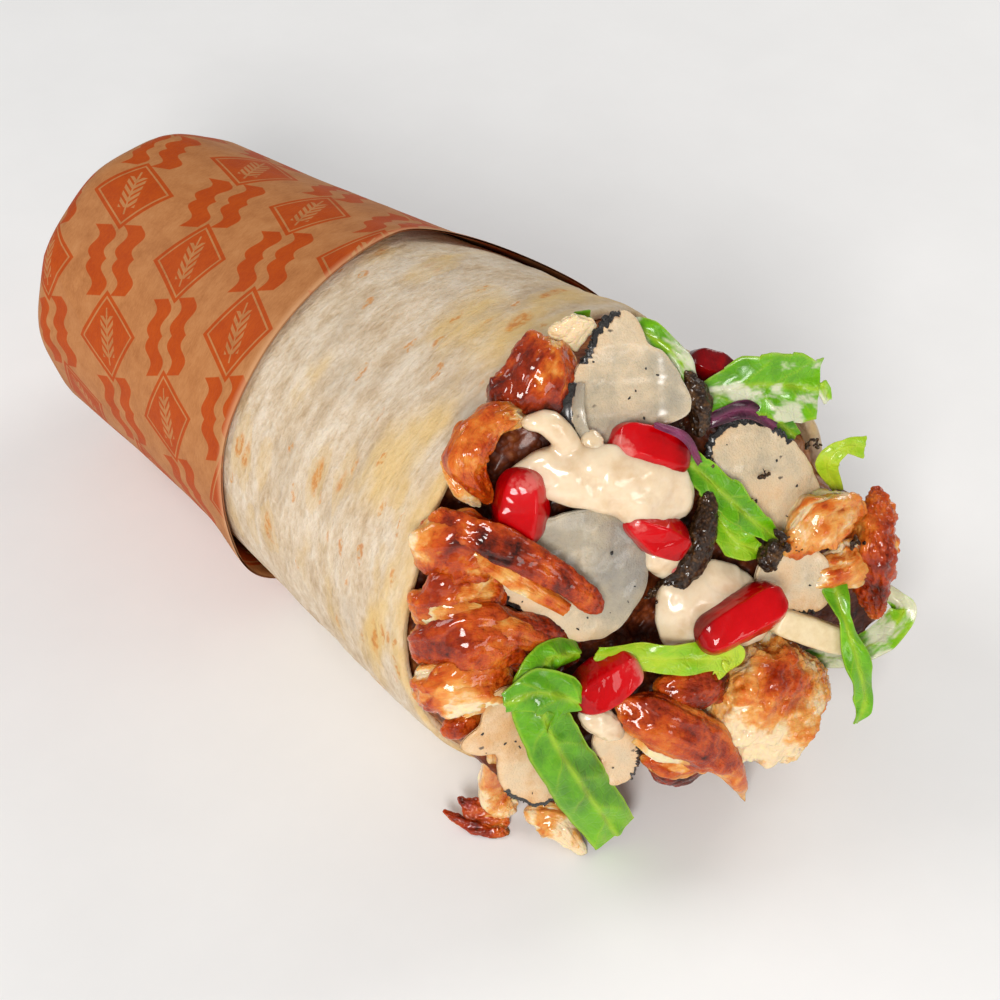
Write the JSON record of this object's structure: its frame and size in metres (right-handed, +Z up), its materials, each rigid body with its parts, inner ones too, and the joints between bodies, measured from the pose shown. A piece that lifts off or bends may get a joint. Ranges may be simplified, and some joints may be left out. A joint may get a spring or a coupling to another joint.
{
  "type": "filled flatbread wrap",
  "caption": "Rolled flatbread in a paper sleeve, filled with grilled meat, pale slices, lettuce, pomegranate seeds and cream sauce that swell out of its open end.",
  "frame": {"origin": "bottom centre of the whole object's box, on the surface it lies on", "axes": "+X along the roll from its closed, papered end to its open end, +Z up"},
  "size_m": [0.1552, 0.0758, 0.0748],
  "materials": {
    "paper": "matte kraft paper with an orange print",
    "bread": "soft flatbread with toasted spots",
    "packed_filling": "moist shredded meat",
    "grilled_meat": "browned and glazed",
    "browned_meat": "dark and glossy",
    "pale_slices": "moist, with a black rind",
    "lettuce": "wet leaf",
    "red_cabbage": "wet leaf",
    "pomegranate": "glassy",
    "cheese": "smooth",
    "cream_sauce": "wet",
    "dark_paste": "grainy and wet"
  },
  "bodies": {
    "root": {"cabbage_dark": "red_cabbage", "cabbage_thread": "red_cabbage", "cheese_stick": "cheese", "flatbread": "bread", "lettuce_behind_slice": "lettuce", "lettuce_centre": "lettuce", "lettuce_centre_low": "lettuce", "lettuce_curl": "lettuce", "lettuce_edge_top": "lettuce", "lettuce_front": "lettuce", "lettuce_loop_right": "lettuce", "lettuce_middle": "lettuce", "lettuce_strand_right": "lettuce", "lettuce_top_right": "lettuce", "lettuce_under_rim": "lettuce", "meat_chunk_big": "grilled_meat", "meat_chunk_left": "grilled_meat", "meat_chunk_mid": "grilled_meat", "meat_chunk_top": "grilled_meat", "meat_crisp_front": "browned_meat", "meat_crisp_right": "grilled_meat", "meat_crumb_low": "grilled_meat", "meat_curl_left": "grilled_meat", "meat_curl_right": "grilled_meat", "meat_dark_under": "grilled_meat", "meat_fibre": "grilled_meat", "meat_flake_left": "grilled_meat", "meat_fold_front": "grilled_meat", "meat_gold_front": "grilled_meat", "meat_pale_right": "grilled_meat", "meat_pale_top": "grilled_meat", "meat_ridge_gold": "grilled_meat", "meat_ridge_low": "grilled_meat", "meat_ridge_main": "grilled_meat", "meat_skin": "browned_meat", "meat_tail_front": "grilled_meat", "packed_filling": "packed_filling", "paper_sleeve": "paper", "paste_behind": "dark_paste", "paste_dot": "dark_paste", "paste_ribbon": "dark_paste", "sauce_centre": "cream_sauce", "sauce_front": "cream_sauce", "sauce_right": "cream_sauce", "seed_back": "pomegranate", "seed_centre": "pomegranate", "seed_front": "pomegranate", "seed_left": "pomegranate", "seed_right": "pomegranate", "seed_top": "pomegranate", "slice_centre": "pale_slices", "slice_edge_on": "pale_slices", "slice_front": "pale_slices", "slice_low_right": "pale_slices", "slice_right": "pale_slices", "slice_small": "pale_slices", "slice_top": "pale_slices"}
  },
  "joints": []
}
